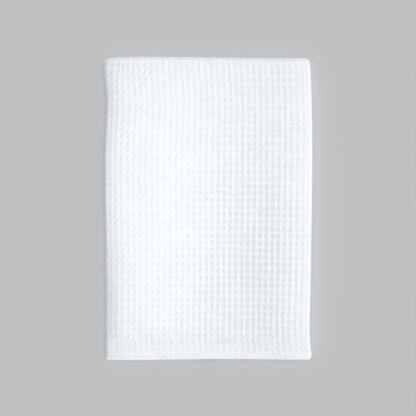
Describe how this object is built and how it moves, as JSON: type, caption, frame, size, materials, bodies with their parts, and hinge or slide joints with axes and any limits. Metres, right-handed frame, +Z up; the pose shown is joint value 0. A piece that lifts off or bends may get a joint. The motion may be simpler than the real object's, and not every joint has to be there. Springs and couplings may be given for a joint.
{
  "type": "dish towel",
  "caption": "Waffle-weave cotton dish towel, its sides folded under and then folded in half, lying flat with its hemmed ends together.",
  "frame": {"origin": "on the surface it rests on, under the centre of the folded towel", "axes": "+Z up through the layers, +Y along the folded towel's length towards its fold, +X across it"},
  "size_m": [0.2084, 0.3036, 0.0164],
  "materials": {
    "white_waffle_cotton": "matt white waffle-weave cotton"
  },
  "bodies": {
    "root": {"towel": "white_waffle_cotton"}
  },
  "joints": []
}
